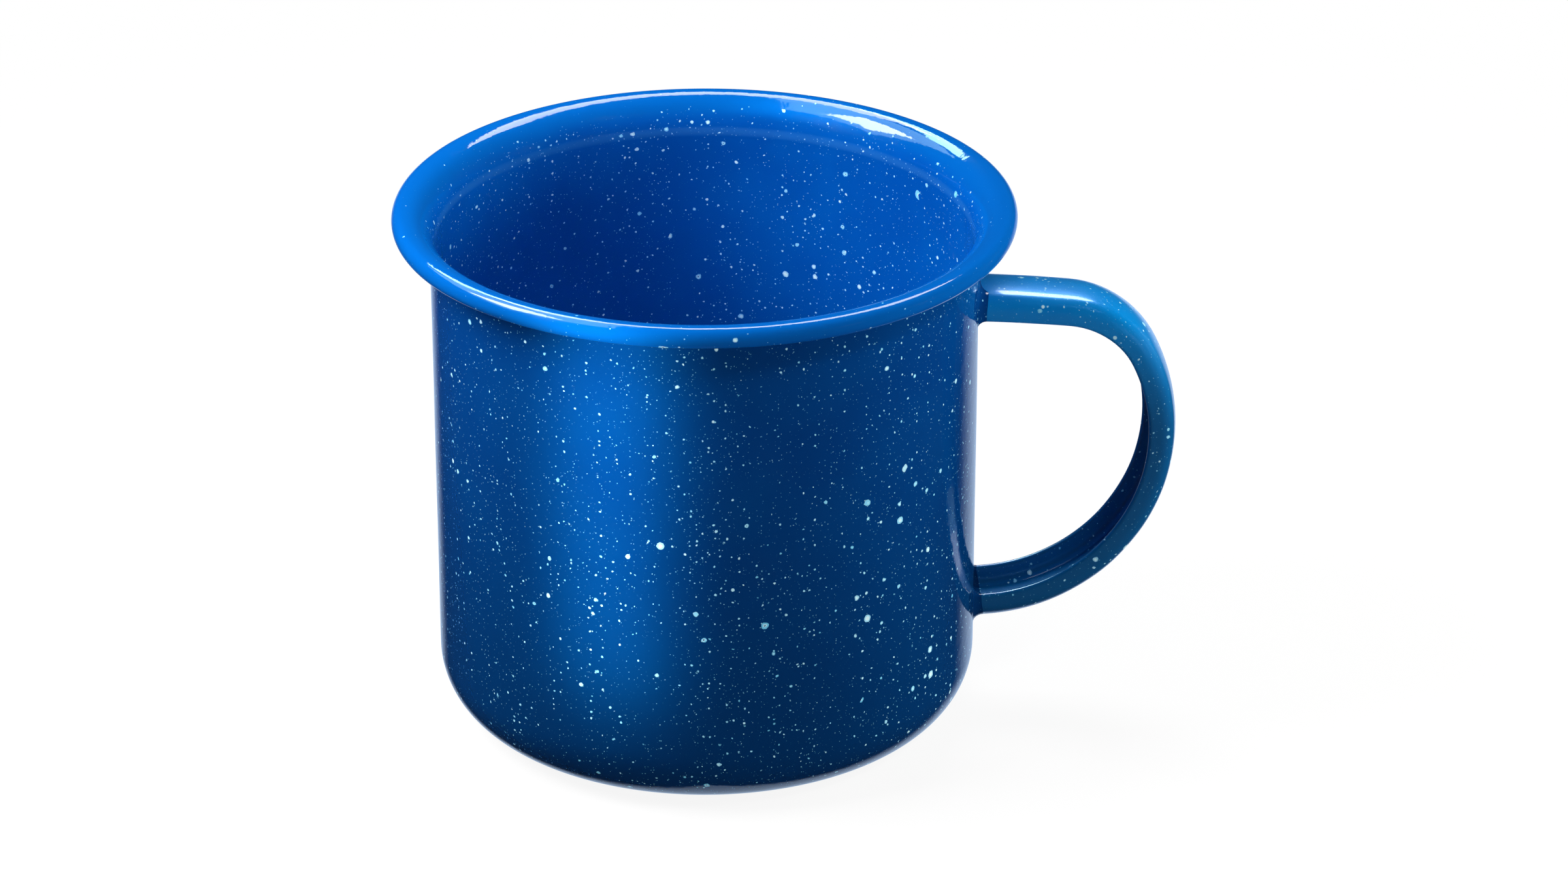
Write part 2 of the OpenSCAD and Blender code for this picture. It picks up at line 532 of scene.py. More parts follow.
    def shell_rings(self, d: float, crown: float, uneven: float) -> list[list[Point3]]:
        """Rings of one face of the enamel, from the upper end to the lower end.

        Args:
            d: Distance of the face from the middle of the strip's thickness.
            crown: How much the middle of the back stands proud.
            uneven: How much the face waves in and out.

        Returns:
            One ring of points for each section.
        """
        shape = self.section(d, crown)
        bends = self.bends()
        rings = [[self.place(bends[0], self.at_wall(Root.UPPER, p, self.bury), p) for p in shape]]
        rings += [[self.place(bend, heading, p) for p in shape] for bend, heading in self.stations()]
        rings.append([self.place(bends[-1], self.at_wall(Root.LOWER, p, self.bury), p) for p in shape])
        return [[self.waved(p, uneven) for p in ring] for ring in rings]

    def waved(self, point: Point3, amount: float) -> Point3:
        """Moves a point of the enamel by up to the amount, as its slight unevenness does."""
        move = noise.noise_vector(Vector(point) / self.uneven_length) * amount
        return (point[0] + move.x, point[1] + move.y, point[2] + move.z)

    def build(self, name: str) -> Object:
        """Makes the enamel over the whole strip, hollow where the strip lies.

        Args:
            name: Name of the piece.

        Returns:
            The closed mesh object.
        """
        maker = MeshMaker()
        outer = maker.loft(self.shell_rings(self.wall / 2, self.crown, self.unevenness), flip=True)
        inner = maker.loft(self.shell_rings(self.strip_t / 2, 0.0, 0.0))
        maker.bridge(outer[0], inner[0])
        maker.bridge(inner[-1], outer[-1])
        return maker.build(name)


def out_of_back(heading: float) -> Point2:
    """Unit vector (x, z) out of the handle's back at a heading in degrees."""
    return math.sin(math.radians(heading)), math.cos(math.radians(heading))


@dataclass(frozen=True)
class PooledFillet:
    """Enamel that pools round one end of the handle, a soft ring on the wall."""

    handle: Handle
    root: Root
    rise: float = 1.35
    spread: float = 1.15
    lumpiness: float = 0.16
    lump_length: float = 2.6
    lump_offset: float = 7.0
    steps: int = 7
    sink: float = 0.12

    def ring(self, out: float, up: float, sunk: bool) -> list[Point3]:
        """One ring of the fillet.

        Args:
            out: Distance from the strip's enamelled face.
            up: Distance out from the cup's wall, along the strip.
            sunk: Whether the ring lies under the wall's face.

        Returns:
            The ring's points.
        """
        handle = self.handle
        bends = handle.bends()
        bend = bends[0] if self.root is Root.UPPER else bends[-1]
        sign = 1.0 if self.root is Root.UPPER else -1.0
        base = handle.section(handle.wall / 2)
        shape = handle.section(handle.wall / 2 + out)
        made: list[Point3] = []
        for near, far in zip(base, shape):
            seed = Vector((near[0], near[1], self.lump_offset * sign)) / self.lump_length
            grow = 1.0 + self.lumpiness * noise.noise(seed)
            at = (near[0] + (far[0] - near[0]) * grow, near[1] + (far[1] - near[1]) * grow)
            heading = handle.at_wall(self.root, at, self.sink if sunk else 0.0)
            heading += sign * math.degrees(up * grow / bend.radius)
            made.append(handle.place(bend, heading, at))
        return made

    def build(self, name: str) -> Object:
        """Makes the fillet as a closed ring.

        Args:
            name: Name of the piece.

        Returns:
            The closed mesh object.
        """
        maker = MeshMaker()
        angles = (math.pi / 2 * i / self.steps for i in range(self.steps + 1))
        places = [(self.spread * (1 - math.cos(a)), self.rise * (1 - math.sin(a)), False) for a in angles]
        places += [(self.spread, 0.0, True), (-self.sink, 0.0, True), (-self.sink, self.rise, False)]
        maker.loft([self.ring(*place) for place in places], self.root is Root.LOWER, closed=True)
        return maker.build(name)


# ---- finishes

Sockets = dict[str, NodeSocket]


@dataclass(frozen=True)
class Waves:
    """A 3-D noise, in waves per millimetre, and the range that a mask takes from it."""

    scale: float | NodeSocket
    detail: float = 2.0
    rough: float = 0.5
    low: float = 0.0
    high: float = 1.0


class NodeSheet:
    """A node tree being filled, with a short call for each kind of node."""

    def __init__(self, tree: NodeTree) -> None:
        """Empties the tree and starts on it."""
        self.tree = tree
        tree.nodes.clear()

    def add(self, kind: str, fed: Sequence[object] = (), **settings: object) -> Node:
        """Adds a node.

        Args:
            kind: Blender's name of the node type.
            fed: Value or socket for each of its first inputs, or None to leave one.
            **settings: Properties to set on it.

        Returns:
            The node.
        """
        node = self.tree.nodes.new(kind)
        for key, value in settings.items():
            setattr(node, key, value)
        for value, socket in zip(fed, node.inputs):
            self.feed(value, socket)
        return node

    def feed(self, value: object, socket: NodeSocket) -> None:
        """Links a socket to another, or sets its value.

        Args:
            value: Socket to link from, plain value or colour to set, or None to leave it.
            socket: Input that gets it.
        """
        if isinstance(value, NodeSocket):
            self.tree.links.new(value, socket)
        elif value is not None:
            socket.default_value = (*value, 1.0) if socket.type == "RGBA" else value

    def math(self, operation: str, a: object, b: object = None, clamp: bool = False) -> NodeSocket:
        """Result of a Math node, kept between 0 and 1 if clamped."""
        return self.add("ShaderNodeMath", (a, b), operation=operation, use_clamp=clamp).outputs[0]

    def times(self, a: object, b: object) -> NodeSocket:
        """Product of two values."""
        return self.math("MULTIPLY", a, b)

    def add_up(self, value: object, times: object, plus: object) -> NodeSocket:
        """A value multiplied by one and then added to another."""
        return self.add("ShaderNodeMath", (value, times, plus), operation="MULTIPLY_ADD").outputs[0]

    def vector(self, operation: str, *fed: object) -> Node:
        """Adds a Vector Math node."""
        return self.add("ShaderNodeVectorMath", fed, operation=operation)

    def scaled(self, vector: object, factor: object) -> NodeSocket:
        """A vector multiplied by a number."""
        return self.vector("SCALE", vector, None, None, factor).outputs[0]

    def stretched(self, vector: object, by: Point3) -> NodeSocket:
        """A vector multiplied by another, axis by axis."""
        return self.vector("MULTIPLY", vector, by).outputs[0]

    def shifted(self, vector: object, by: Point3 | NodeSocket) -> NodeSocket:
        """A vector with another added."""
        return self.vector("ADD", vector, by).outputs[0]

    def height_of(self, vector: object) -> NodeSocket:
        """Upright part of a vector."""
        return self.add("ShaderNodeSeparateXYZ", (vector,)).outputs["Z"]

    def noise(self, vector: object, waves: Waves) -> Node:
        """Adds a 3-D noise, read at a position."""
        fed = (vector, None, waves.scale, waves.detail, waves.rough)
        return self.add("ShaderNodeTexNoise", fed, noise_dimensions="3D")

    def ramp(self, value: object, low: float, high: float) -> NodeSocket:
        """Eased ramp from 0 at low to 1 at high."""
        node = self.add("ShaderNodeMapRange", (value, low, high), interpolation_type="SMOOTHSTEP")
        return node.outputs["Result"]

    def patches(self, vector: object, waves: Waves) -> NodeSocket:
        """Soft mask cut out of a noise."""
        return self.ramp(self.noise(vector, waves).outputs["Fac"], waves.low, waves.high)

    def blend(self, factor: object, a: object, b: object) -> NodeSocket:
        """Mixes two colours, the factor being the second one's share."""
        return self.add("ShaderNodeMix", (factor, *[None] * 5, a, b), data_type="RGBA").outputs[2]

    def mixed(self, factor: object, a: Node, b: Node) -> Node:
        """Mixes two shaders, the factor being the second one's share."""
        return self.add("ShaderNodeMixShader", (factor, a.outputs[0], b.outputs[0]))

    def bump(self, height: object, distance: float) -> NodeSocket:
        """Normal of a relief, whose height of 1 stands for a distance in metres."""
        return self.add("ShaderNodeBump", (None, distance, None, height)).outputs[0]


class Surface(NodeSheet):
    """The node tree of a new material, with its shader on the output."""

    def __init__(self, name: str) -> None:
        """Makes the material, its shader and the position on the piece, in metres.

        Args:
            name: Name of the material.
        """
        self.material = bpy.data.materials.new(name)
        self.material.use_nodes = True
        super().__init__(self.material.node_tree)
        self.shader = self.add("ShaderNodeBsdfPrincipled")
        self.result = self.add("ShaderNodeOutputMaterial", (self.shader.outputs[0],))
        self.position = self.add("ShaderNodeTexCoord").outputs["Object"]

    def paint(self, looks: dict[str, object]) -> None:
        """Feeds inputs of the shader, by name."""
        for name, value in looks.items():
            self.feed(value, self.shader.inputs[name])


@dataclass(frozen=True)
class Socket:
    """A named input or output of an effect, with its type."""

    name: str
    kind: str = "NodeSocketFloat"


PLACE = Socket("Place", "NodeSocketVector")


class Effect:
    """A shader node group that several finishes share."""

    name = "effect"
    inputs: tuple[Socket, ...] = ()
    outputs: tuple[Socket, ...] = ()

    def __init__(self) -> None:
        """Builds the group once."""
        self.tree = bpy.data.node_groups.new(self.name, "ShaderNodeTree")
        for way, sockets in (("INPUT", self.inputs), ("OUTPUT", self.outputs)):
            for socket in sockets:
                self.tree.interface.new_socket(socket.name, in_out=way, socket_type=socket.kind)
        sheet = NodeSheet(self.tree)
        source = sheet.add("NodeGroupInput")
        result = sheet.add("NodeGroupOutput")
        made_values = self.wire(sheet, {s.name: source.outputs[s.name] for s in self.inputs})
        for key, value in made_values.items():
            sheet.feed(value, result.inputs[key])

    def wire(self, sheet: NodeSheet, given: Sockets) -> dict[str, object]:
        """Fills the group and returns what each output gets."""
        raise NotImplementedError

    def use(self, sheet: NodeSheet, **values: object) -> Sockets:
        """Places the effect in a tree.

        Args:
            sheet: The tree to place it in.
            **values: Value or socket for each input.

        Returns:
            The socket of each output.
        """
        node = sheet.add("ShaderNodeGroup", node_tree=self.tree)
        for key, value in values.items():
            sheet.feed(value, node.inputs[key])
        return {socket.name: node.outputs[socket.name] for socket in self.outputs}


class FleckLayer(Effect):
    """Flecks of one size class, scattered through space."""

    name = "fleck_layer"
    inputs = (PLACE, Socket("Cell"), Socket("Radius"), Socket("Chance"), Socket("Edge"), Socket("Rings"))
    outputs = (Socket("Mask"), Socket("Tone"))
    core_share = 0.6
    hole_share = 0.34
    least_share = 0.35
    size_power = 2.0
    core_tone = 0.55
    tone_spread = 0.45

    def wire(self, sheet: NodeSheet, given: Sockets) -> dict[str, object]:
        """One point per cell, each with its own size, and some left out or hollow.

        Args:
            sheet: The group's tree.
            given: The socket of each input.

        Returns:
            The flecks' mask, and how pale each is.
        """
        voronoi = sheet.add("ShaderNodeTexVoronoi", voronoi_dimensions="3D", feature="F1")
        cells = sheet.scaled(given["Place"], sheet.math("DIVIDE", 1.0, given["Cell"]))
        sheet.feed(cells, voronoi.inputs["Vector"])
        sheet.feed(1.0, voronoi.inputs["Scale"])
        size, there, tone = sheet.add("ShaderNodeSeparateColor", (voronoi.outputs["Color"],)).outputs
        small = sheet.math("POWER", size, self.size_power)
        share = sheet.add_up(small, 1.0 - self.least_share, self.least_share)
        radius = sheet.times(given["Radius"], share)
        away = sheet.times(voronoi.outputs["Distance"], given["Cell"])

        def within(part: float) -> NodeSocket:
            """Soft-edged disc whose radius is a share of the fleck's."""
            reach = sheet.math("SUBTRACT", sheet.times(radius, part), away)
            return sheet.math("DIVIDE", reach, given["Edge"], clamp=True)

        ringed = sheet.math("LESS_THAN", tone, given["Rings"])
        hollow = sheet.times(within(self.hole_share), ringed)
        whole = sheet.times(within(1.0), sheet.math("SUBTRACT", 1.0, hollow))
        kept = sheet.math("LESS_THAN", there, given["Chance"])
        own = sheet.times(tone, self.tone_spread)
        core = sheet.add_up(within(self.core_share), self.core_tone, own)
        return {"Mask": sheet.times(whole, kept), "Tone": core}


@dataclass(frozen=True)
class FleckSize:
    """One size class of flecks, in millimetres."""

    cell: float
    radius: float
    chance: float
    edge: float
    strength: float
    rings: float = 0.0


class Splatter(Effect):
    """Pale glass flecks of every size, from mist to drops, with uneven edges."""

    name = "splatter"
    inputs = (PLACE, Socket("Amount"), Socket("Mist"))
    outputs = (Socket("Mask"), Socket("Tone"))
    sizes = (
        FleckSize(cell=0.42, radius=0.115, chance=0.75, edge=0.05, strength=0.55),
        FleckSize(cell=0.85, radius=0.22, chance=0.7, edge=0.05, strength=0.9),
        FleckSize(cell=2.2, radius=0.48, chance=0.5, edge=0.06, strength=1.0, rings=0.2),
        FleckSize(cell=5.0, radius=0.85, chance=0.42, edge=0.07, strength=1.0, rings=0.35),
    )
    sway = 0.4
    sway_waves = Waves(1.3, 2.0, 0.6)
    jag = 0.13
    jag_waves = Waves(3.6, 2.0, 0.6)
    crowd_waves = Waves(0.085, low=0.3, high=0.72)
    crowd_gain = 0.8
    crowd_least = 0.55
    layer_step = (17.3, 5.1, 9.7)

    def __init__(self, layer: FleckLayer) -> None:
        """Keeps the layer that it is made of, then builds."""
        self.layer = layer
        super().__init__()

    def bent(self, sheet: NodeSheet, place: object, waves: Waves, amount: float) -> NodeSocket:
        """Shifts a position by a small 3-D noise."""
        ripple = sheet.shifted(sheet.noise(place, waves).outputs["Color"], (-0.5, -0.5, -0.5))
        return sheet.shifted(place, sheet.scaled(ripple, amount))

    def wire(self, sheet: NodeSheet, given: Sockets) -> dict[str, object]:
        """Layers of flecks over one another, thicker in some places.

        Args:
            sheet: The group's tree.
            given: The socket of each input.

        Returns:
            The flecks' mask, and how pale each is.
        """
        place = given["Place"]
        bent = self.bent(sheet, self.bent(sheet, place, self.sway_waves, self.sway), self.jag_waves, self.jag)
        crowd = sheet.add_up(sheet.patches(place, self.crowd_waves), self.crowd_gain, self.crowd_least)
        amount = sheet.times(crowd, given["Amount"])
        mask: object = 0.0
        tone: object = 0.0
        for i, size in enumerate(self.sizes):
            density = sheet.times(size.chance, given["Mist"] if i == 0 else amount)
            fleck = self.layer.use(
                sheet, Place=sheet.shifted(bent, tuple(step * i for step in self.layer_step)), Cell=size.cell,
                Radius=size.radius, Chance=density, Edge=size.edge, Rings=size.rings,
            )
            made = sheet.times(fleck["Mask"], size.strength)
            mask = sheet.math("MAXIMUM", mask, made)
            tone = sheet.math("MAXIMUM", tone, sheet.times(made, fleck["Tone"]))
        return {"Mask": mask, "Tone": tone}


class GlassSkin(Effect):
    """Slow changes of depth in fused glass, its skin and its fine marks."""

    name = "glass_skin"
    inputs = (PLACE, Socket("Marks"))
    outputs = (Socket("Depth"), Socket("Height"), Socket("Dullness"))
    clouds = Waves(0.06, 3.0, 0.55, 0.3, 0.7)
    peel = Waves(0.55, 2.0, 0.45)
    fine = Waves(2.6, 1.0)
    fine_share = 0.12
    streaks = Waves(1.8, 4.0, 0.6, 0.62, 0.8)
    streak_stretch = (1.0, 1.0, 0.12)
    smears = Waves(0.11, 3.0, 0.6, 0.45, 0.75)

    def wire(self, sheet: NodeSheet, given: Sockets) -> dict[str, object]:
        """Broad clouds, a soft orange peel, and thin dull streaks.

        Args:
            sheet: The group's tree.
            given: The socket of each input.

        Returns:
            The clouds, the peel's height and the dull marks.
        """
        place = given["Place"]
        peel = sheet.noise(place, self.peel).outputs["Fac"]
        height = sheet.add_up(sheet.noise(place, self.fine).outputs["Fac"], self.fine_share, peel)
        streaks = sheet.patches(sheet.stretched(place, self.streak_stretch), self.streaks)
        marks = sheet.math("ADD", streaks, sheet.patches(place, self.smears))
        return {
            "Depth": sheet.patches(place, self.clouds),
            "Height": height,
            "Dullness": sheet.times(marks, given["Marks"]),
        }


class SteelGrain(Effect):
    """Grain of rolled or welded steel."""

    name = "steel_grain"
    inputs = (PLACE, Socket("Grain"))
    outputs = (Socket("Tone"), Socket("Height"))
    line_detail = (3.0, 0.6)
    line_stretch = (0.25, 0.25, 6.0)
    line_share = 0.5
    stains = Waves(0.1, 3.0, 0.6)

    def wire(self, sheet: NodeSheet, given: Sockets) -> dict[str, object]:
        """Fine lines round the axis over slow stains.

        Args:
            sheet: The group's tree.
            given: The socket of each input.

        Returns:
            The steel's tone and the lines' height.
        """
        stretched = sheet.stretched(given["Place"], self.line_stretch)
        lines = sheet.noise(stretched, Waves(given["Grain"], *self.line_detail)).outputs["Fac"]
        stains = sheet.noise(given["Place"], self.stains).outputs["Fac"]
        rest = sheet.times(stains, 1.0 - self.line_share)
        return {"Tone": sheet.add_up(lines, self.line_share, rest), "Height": lines}


@dataclass(frozen=True)
class EffectShelf:
    """The shared effects, each built once."""

    splatter: Splatter
    skin: GlassSkin
    grain: SteelGrain


@dataclass(frozen=True)
class EnamelFinish:
    """Glossy blue vitreous enamel with pale flecks, which grow fewer towards the rim.

    The haze is a ring of fine mist in the throat, and the sheen a metal
    lustre under a clear coat.
    """

    name: str
    body: Colour = (0.0005, 0.048, 0.218)
    deep: Colour = (0.0004, 0.040, 0.20)
    # Painted shade: the colour that the enamel darkens to lower down, towards the foot and the bottom of the
    # cup, where less light falls
    low: Colour = (0.0004, 0.029, 0.12)
    # Paler colour at the rim: thinner glass there, and partly painted light from above
    thin_and_lit: Colour = (0.0005, 0.098, 0.41)
    fleck_cool: Colour = (0.15, 0.60, 0.90)
    fleck_pale: Colour = (0.78, 0.97, 1.0)
    amount: float = 1.0
    mist: float = 1.0
    marks: float = 1.0
    roughness: float = 0.045
    fleck_roughness: float = 0.03
    dull_roughness: float = 0.05
    shade_low_z: float = 0.0
    shade_high_z: float = 74.0
    haze: float = 0.0
    haze_z: float = 75.3
    haze_width: float = 0.8
    haze_amount: float = 0.6
    haze_mist: float = 6.0
    haze_tint: float = 0.06
    ior: float = 1.5
    sheen: float = 0.0
    sheen_roughness: float = 0.3
    peel: float = 0.00003
    fleck_relief: float = 0.25
    bare_from: float = 1000.0
    bare_over: float = 1.2
    bare_share: float = 0.9

    def polish(self, surface: Surface, flecks: object, dull: object) -> None:
        """Sets how smooth and how metallic the enamel is.

        Args:
            surface: The material.
            flecks: Mask of the flecks.
            dull: Mask of the dull marks.
        """
        if self.sheen:
            surface.paint({
                "Metallic": surface.add_up(flecks, -self.sheen, self.sheen),
                "Roughness": surface.add_up(dull, self.dull_roughness, self.sheen_roughness),
                "Coat Weight": 1.0,
                "Coat IOR": self.ior,
                "Coat Roughness": self.roughness,
            })
        else:
            marked = surface.add_up(dull, self.dull_roughness, self.roughness)
            surface.paint({"Roughness": surface.add_up(flecks, self.fleck_roughness, marked)})

    def build(self, shelf: EffectShelf) -> Material:
        """Makes the material.

        Args:
            shelf: The shared effects.

        Returns:
            The material.
        """
        surface = Surface(self.name)
        place = surface.scaled(surface.position, 1.0 / MM)
        z = surface.height_of(place)
        rim = surface.ramp(z, self.bare_from, self.bare_from + self.bare_over)
        left = surface.math("SUBTRACT", 1.0, surface.times(rim, self.bare_share))
        skin = shelf.skin.use(surface, Place=place, Marks=self.marks)
        above = surface.math("DIVIDE", surface.math("SUBTRACT", z, self.haze_z), self.haze_width)
        bell = surface.math("SUBTRACT", 1.0, surface.times(above, above), clamp=True)
        haze = surface.times(bell, self.haze)
        fleck = shelf.splatter.use(
            surface, Place=place,
            Amount=surface.times(left, surface.add_up(haze, self.haze_amount, self.amount)),
            Mist=surface.times(left, surface.add_up(haze, self.haze_mist, self.mist)),
        )
        ground = surface.blend(skin["Depth"], self.deep, self.body)
        # Painted shade: darker lower down, where less light falls; on the handle the same blend leaves the
        # arm paler than the grip, as painted light
        ground = surface.blend(surface.ramp(z, self.shade_low_z, self.shade_high_z), self.low, ground)
        ground = surface.blend(surface.times(haze, self.haze_tint), ground, self.fleck_cool)
        # At the rim the colour turns paler: thinner glass, and partly painted light from above
        ground = surface.blend(rim, ground, self.thin_and_lit)
        pale = surface.blend(fleck["Tone"], self.fleck_cool, self.fleck_pale)
        relief = surface.add_up(fleck["Mask"], self.fleck_relief, skin["Height"])
        surface.paint({
            "Base Color": surface.blend(fleck["Mask"], ground, pale),
            "IOR": self.ior,
            "Normal": surface.bump(relief, self.peel),
        })
        self.polish(surface, fleck["Mask"], skin["Dullness"])
        return surface.material


@dataclass(frozen=True)
class SteelFinish:
    """Bare steel under the enamel."""

    name: str
    light: Colour = (0.36, 0.37, 0.39)
    dark: Colour = (0.24, 0.24, 0.25)
    roughness: float = 0.32
    spread: float = 0.2
    grain: float = 4.0
    relief: float = 0.00001

    def build(self, shelf: EffectShelf) -> Material:
        """Makes the material.

        Args:
            shelf: The shared effects.

        Returns:
            The material.
        """
        surface = Surface(self.name)
        place = surface.scaled(surface.position, 1.0 / MM)
        grain = shelf.grain.use(surface, Place=place, Grain=self.grain)
        surface.paint({
            "Base Color": surface.blend(grain["Tone"], self.dark, self.light),
            "Metallic": 1.0,
            "Roughness": surface.add_up(grain["Tone"], self.spread, self.roughness),
            "Normal": surface.bump(grain["Height"], self.relief),
        })
        return surface.material


# ---- studio


@dataclass(frozen=True)
class SoftBox:
    """A square-cornered soft lamp, which either lights the mug or is mirrored in it.

    Azimuth 0 is the camera's side and 90 the right-hand side, in degrees.
    Lengths are in metres.
    """

    name: str
    azimuth: float
    elevation: float
    distance: float
    width: float
    height: float
    radiance: float
    colour: Colour = (1.0, 1.0, 1.0)
    aim: Point3 = (0.0, 0.0, 0.05)
    spread: float = 180.0

    def build(self, mirrored: bool) -> None:
        """Makes the lamp.

        Args:
            mirrored: Whether it is only mirrored, or only lights.
        """
        data = bpy.data.lights.new(self.name, "AREA")
        data.shape = "RECTANGLE"
        data.size = self.width
        data.size_y = self.height
        data.energy = self.radiance * math.pi * self.width * self.height
        data.color = self.colour
        data.spread = math.radians(self.spread)
        obj = bpy.data.objects.new(self.name, data)
        a, e = math.radians(self.azimuth), math.radians(self.elevation)
        away = Vector((math.sin(a) * math.cos(e), -math.cos(a) * math.cos(e), math.sin(e)))
        obj.location = Vector(self.aim) + away * self.distance
        obj.rotation_euler = away.to_track_quat("Z", "Y").to_euler()
        obj.visible_camera = False
        obj.visible_diffuse = not mirrored
        obj.visible_glossy = mirrored
        bpy.context.scene.collection.objects.link(obj)


@dataclass(frozen=True)
class Studio:
    """Camera, pale floor, pale surroundings and soft lamps."""

    target: Point3 = (11.561, 0.0, 42.049)
    distance: float = 1000.0
    elevation: float = 25.244
    turn: float = -3.0
    lens: float = 155.337
    sensor: float = 36.0
    sight: float = 20.0
    floor_r: float = 2.6
    floor_rings: int = 12
    floor_around: int = 64
    floor_seen: Colour = (0.95, 0.95, 0.95)
    floor_bounce: Colour = (0.36, 0.35, 0.33)
    mirror_dark: Colour = (0.01, 0.01, 0.012)
    mirror_heading: float = 170.0
    mirror_reach: float = 27.0
    mirror_top: float = -6.0
    mirror_edge: float = 0.09
    mirror_pale: Colour = (0.52, 0.68, 0.92)
    floor_rough: float = 0.9
    floor_glow: float = 0.9
    fade_from: float = 0.07
    fade_to: float = 0.3
    ambient: float = 0.05
    ambient_colour: Colour = (0.95, 0.98, 1.0)
    sky_seen: Colour = (0.8, 0.8, 0.8)
    mirrored: tuple[SoftBox, ...] = (
        SoftBox("panel_left_high", -112.0, 56.0, 1.0, 0.9, 0.7, 3.5, SKY),
        SoftBox("panel_back_left", -162.0, 41.0, 1.0, 0.36, 0.18, 14.0, SKY),
        SoftBox("core_left", -102.0, 52.0, 1.0, 0.4, 0.34, 16.0),
        SoftBox("pane_back", 168.0, 54.0, 1.0, 0.75, 0.3, 9.0),
    )
    lighting: tuple[SoftBox, ...] = (
        SoftBox("window_left", -80.0, 42.0, 0.32, 0.2, 0.16, 17.2),
        SoftBox("window_behind", 175.0, 58.0, 1.0, 0.5, 0.4, 10.0),
        SoftBox("window_front_right", 43.0, 47.0, 1.0, 0.35, 0.13, 17.0),
        SoftBox("card_front_right", 46.0, 4.0, 1.0, 0.35, 0.2, 7.5),
        SoftBox("card_beside", 80.0, 8.0, 1.0, 0.3, 0.3, 8.0),
        SoftBox("card_right", 112.0, 8.0, 1.0, 0.5, 0.4, 16.0, WARM),
        SoftBox("band", -24.0, 1.5, 0.8, 0.012, 0.07, 2.9, WARM, aim=(-0.014, -0.034, 0.053), spread=1.9),
    )

    def camera(self) -> None:
        """Makes the camera and looks through it."""
        data = bpy.data.cameras.new("camera")
        data.sensor_fit = "HORIZONTAL"
        data.sensor_width = self.sensor
        data.lens = self.lens
        data.clip_end = self.sight
        obj = bpy.data.objects.new("camera", data)
        e, turn = math.radians(self.elevation), math.radians(self.turn)
        target = Vector(self.target) * MM
        back = Vector((0.0, -math.cos(e), math.sin(e))) * self.distance * MM
        place = target + back
        cos_t, sin_t = math.cos(turn), math.sin(turn)
        obj.location = (place.x * cos_t - place.y * sin_t, place.x * sin_t + place.y * cos_t, place.z)
        obj.rotation_euler = (math.pi / 2 - e, 0.0, turn)
        bpy.context.scene.collection.objects.link(obj)
        bpy.context.scene.camera = obj

    def floor(self) -> None:
        """Makes the round, pale floor."""
        maker = MeshMaker()
        turns = [2 * math.pi * k / self.floor_around for k in range(self.floor_around)]
        radii = (self.floor_r / MM * (i / self.floor_rings) ** 2 for i in range(1, self.floor_rings + 1))
        rings = [[(r * math.cos(a), r * math.sin(a), 0.0) for a in turns] for r in radii]
        maker.loft([[(0.0, 0.0, 0.0)], *rings])
        obj = maker.build("floor")
        surface = Surface("pale_floor")
        path = surface.add("ShaderNodeLightPath")
        seen = surface.blend(path.outputs["Is Camera Ray"], self.floor_bounce, self.floor_seen)
        surface.paint({"Base Color": seen, "Roughness": self.floor_rough, "Specular IOR Level": 0.0})
        away = surface.vector("LENGTH", surface.position).outputs["Value"]
        fade = surface.ramp(away, self.fade_from, self.fade_to)
        surface.feed(self.floor_glow, fade.node.inputs["To Min"])
        shown = surface.times(fade, path.outputs["Is Camera Ray"])
        lit = surface.mixed(shown, surface.shader, surface.add("ShaderNodeEmission"))
        surface.feed(lit.outputs[0], surface.result.inputs["Surface"])
        obj.data.materials.append(surface.material)
        obj.visible_glossy = False

    def reflected(self, sheet: NodeSheet) -> NodeSocket:
        """What the enamel mirrors: a pale backdrop low behind the mug, dark elsewhere.

        Args:
            sheet: The world's tree.

        Returns:
            The colour of each direction.
        """
        way = sheet.add("ShaderNodeTexCoord").outputs["Generated"]
        level = sheet.vector("NORMALIZE", sheet.stretched(way, (1.0, 1.0, 0.0)))
        heading = math.radians(self.mirror_heading)
        backdrop = (math.sin(heading), -math.cos(heading), 0.0)
        turned = sheet.vector("DOT_PRODUCT", level.outputs[0], backdrop).outputs["Value"]
        edge = math.cos(math.radians(self.mirror_reach))
        beside = sheet.ramp(turned, edge - self.mirror_edge, edge + self.mirror_edge)
        top = math.sin(math.radians(self.mirror_top))
        above = sheet.ramp(sheet.height_of(way), top - self.mirror_edge, top + self.mirror_edge)
        zone = sheet.times(beside, sheet.math("SUBTRACT", 1.0, above))
        return sheet.blend(zone, self.mirror_dark, self.mirror_pale)

    def surroundings(self) -> None:
        """Makes the world: pale to look at, plain and soft as light."""
        world = bpy.data.worlds.new("studio")
        bpy.context.scene.world = world
        world.use_nodes = True
        sheet = NodeSheet(world.node_tree)
        path = sheet.add("ShaderNodeLightPath")
        light = sheet.add("ShaderNodeBackground", (self.ambient_colour, self.ambient))
        mirror = sheet.add("ShaderNodeBackground", (self.reflected(sheet),))
        pale = sheet.add("ShaderNodeBackground", (self.sky_seen,))
        lit = sheet.mixed(path.outputs["Is Glossy Ray"], light, mirror)
        seen = sheet.mixed(path.outputs["Is Camera Ray"], lit, pale)
        sheet.add("ShaderNodeOutputWorld", (seen.outputs[0],))

    def build(self) -> None:
        """Makes the whole studio."""
        self.camera()
        self.floor()
        self.surroundings()
        for lamp in self.mirrored:
            lamp.build(True)
        for lamp in self.lighting:
            lamp.build(False)
        bpy.context.scene.view_settings.view_transform = "Standard"


# ---- main


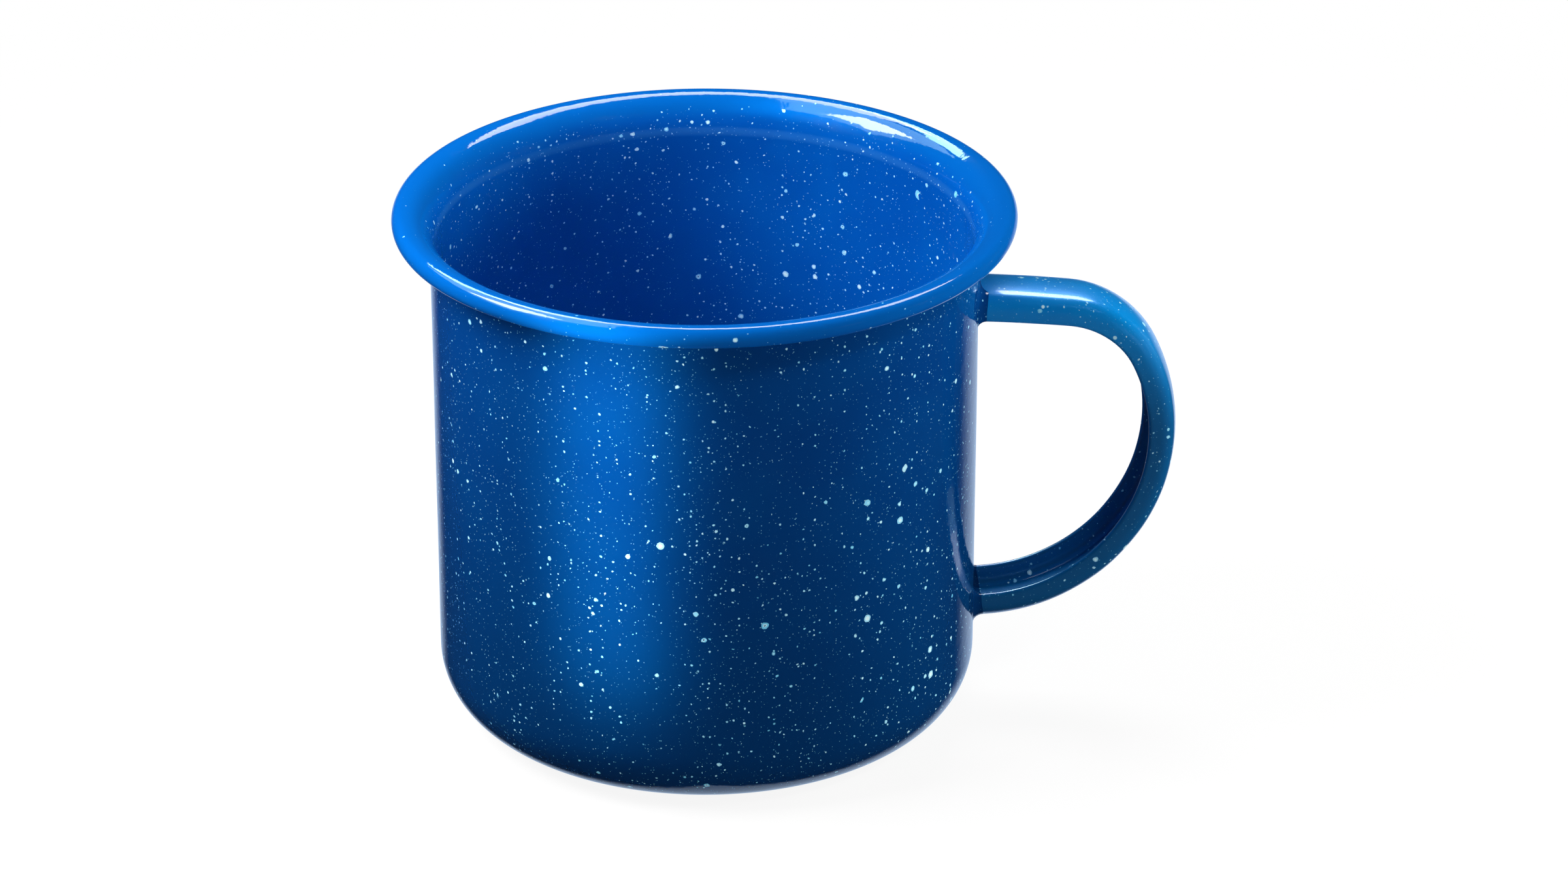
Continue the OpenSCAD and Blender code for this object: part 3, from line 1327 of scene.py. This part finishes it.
def build_mug(frame: dict[str, object]) -> None:
    """Builds the pieces of the mug in order and dresses what the frame keeps.
    """
    shelf = EffectShelf(Splatter(FleckLayer()), GlassSkin(), SteelGrain())
    outside = EnamelFinish("outside_enamel", bare_from=77.5).build(shelf)
    # Painted light: the inside's enamel is about twice as pale as the outside's, standing in for the light
    # inside the cup and on its rim
    inside = EnamelFinish(
        "inside_enamel", body=(0.0005, 0.10, 0.45), deep=(0.0004, 0.08, 0.40), low=(0.0004, 0.07, 0.32),
        fleck_cool=(0.16, 0.62, 0.95), fleck_pale=(0.80, 0.98, 1.0), bare_from=76.5, bare_over=2.5, haze=1.0,
    ).build(shelf)
    # Painted light: the handle's enamel is far paler than the cup's, and paler on the arm than on the grip,
    # standing in for the arm lit and mirrored from above
    painted_light_strap = EnamelFinish(
        "handle_enamel", body=(0.0005, 0.29, 0.80), deep=(0.0005, 0.25, 0.74), low=(0.0005, 0.11, 0.33),
        shade_low_z=42.0, shade_high_z=66.0, sheen=0.2, roughness=0.1,
    ).build(shelf)
    pooled = EnamelFinish("pooled_enamel").build(shelf)
    steel = SteelFinish("cup_steel").build(shelf)
    strip = SteelFinish("strip_steel").build(shelf)
    weld = SteelFinish("weld_metal", roughness=0.5, grain=1.2, relief=0.00004).build(shelf)

    cup = Cup()
    put_in_place(cup.build(Layer.STEEL, "steel_cup"), Layer.STEEL.value, steel)
    put_in_place(cup.build(Layer.INSIDE, "glass_inside"), Layer.INSIDE.value, inside)
    put_in_place(cup.build(Layer.OUTSIDE, "glass_outside"), Layer.OUTSIDE.value, outside)

    handle = Handle(cup)
    put_in_place(handle.build("glass_handle"), "handle_enamel", painted_light_strap)
    for root, name in ((Root.UPPER, "pooled_upper"), (Root.LOWER, "pooled_lower")):
        put_in_place(PooledFillet(handle, root).build(name), root.value, pooled)

    kept = {"handle_strip": strip, "upper_weld": weld, "lower_weld": weld}
    for name, material in kept.items():
        node = frame["nodes"][name]
        node.data.materials.clear()
        node.data.materials.append(material)
        log.info("%s: kept from the frame, dressed in %s", name, material.name)


def main() -> None:
    """Loads the frame, and builds the studio and the mug."""
    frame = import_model()
    noise.seed_set(NOISE_SEED)
    Studio().build()
    build_mug(frame)


if __name__ == "__main__":
    logging.basicConfig(level=logging.INFO, format="%(message)s")
    main()
